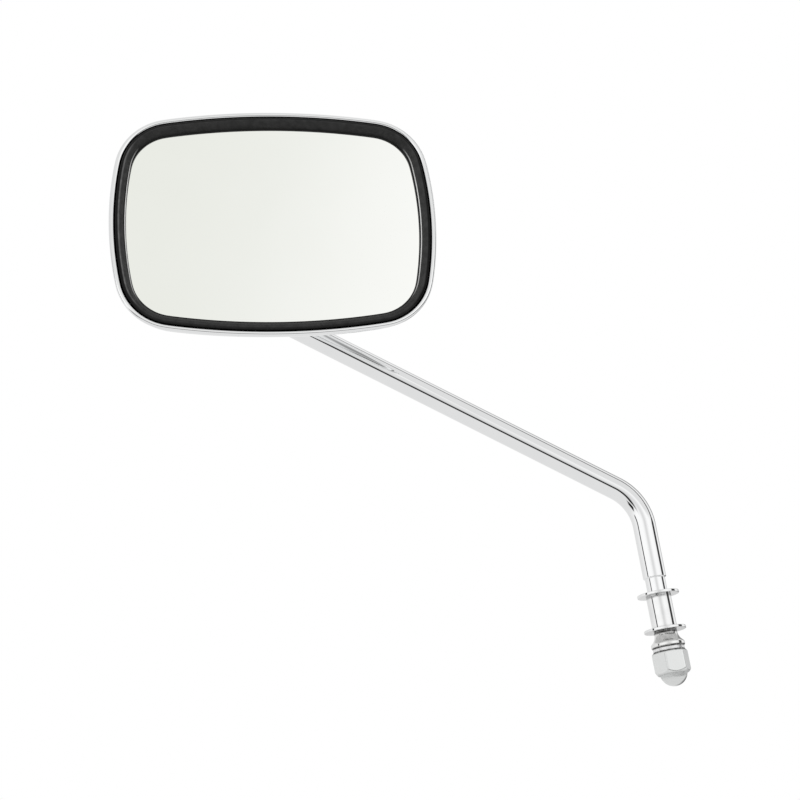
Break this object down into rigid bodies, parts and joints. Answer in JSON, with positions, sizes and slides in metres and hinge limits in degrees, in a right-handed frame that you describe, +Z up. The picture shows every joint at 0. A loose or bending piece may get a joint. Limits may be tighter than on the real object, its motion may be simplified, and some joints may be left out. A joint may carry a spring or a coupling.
{
  "type": "motorcycle mirror",
  "caption": "Left-hand motorcycle mirror: chromed rectangular head with a black bezel, on a ball joint at the end of a bent chromed stem whose stud clamps in a lever perch.",
  "frame": {"origin": "on the stud's axis at the upper washer's underside, where the perch lug seats", "axes": "+Z up with the head level, +X from the head towards the perch, the glass faces -Y; the stud leans 5.9 degrees, its foot towards +X"},
  "size_m": [0.2576, 0.0563, 0.2621],
  "materials": {
    "stem_chrome": "bright chrome plate on steel bar",
    "hardware_chrome": "chrome plate with a trace of brushing",
    "shell_chrome": "bright chrome plate on pressed steel",
    "silvered_glass": "silvered glass",
    "black_rubber": "satin moulded rubber",
    "zinc_steel": "bright zinc plate",
    "spring_steel": "drawn spring wire",
    "white_nylon": "plain moulded nylon",
    "grey_foam": "closed-cell foam"
  },
  "bodies": {
    "stem": {"stem_arm": "stem_chrome", "swivel_ball": "zinc_steel", "upper_washer": "hardware_chrome", "spacer_sleeve": "hardware_chrome", "lower_washer": "hardware_chrome", "cone_collar": "hardware_chrome", "lock_washer": "hardware_chrome", "acorn_nut": "hardware_chrome"},
    "rear_seat": {"rear_ball_seat": "white_nylon"},
    "front_seat": {"front_ball_seat": "white_nylon"},
    "head": {"housing_shell": "shell_chrome", "socket_cup": "zinc_steel", "clamp_studs": "zinc_steel", "clamp_plate": "zinc_steel", "clamp_springs": "spring_steel", "spring_washers": "zinc_steel", "clamp_nuts": "zinc_steel", "backing_plate": "zinc_steel", "glass_pad": "grey_foam", "mirror_glass": "silvered_glass", "bezel_gasket": "black_rubber"}
  },
  "joints": [
    {"name": "head_turn", "type": "hinge", "parent": "stem", "child": "rear_seat", "pos_m": [-0.17208, -0.02254, 0.13834], "axis": [0, 1, 0], "continuous": true},
    {"name": "head_pan", "type": "hinge", "parent": "rear_seat", "child": "front_seat", "pos_m": [-0.17208, -0.02254, 0.13834], "axis": [0, 0, 1], "range_deg": [-12, 12]},
    {"name": "head_tilt", "type": "hinge", "parent": "front_seat", "child": "head", "pos_m": [-0.17208, -0.02254, 0.13834], "axis": [1, 0, 0], "range_deg": [-12, 12]}
  ]
}
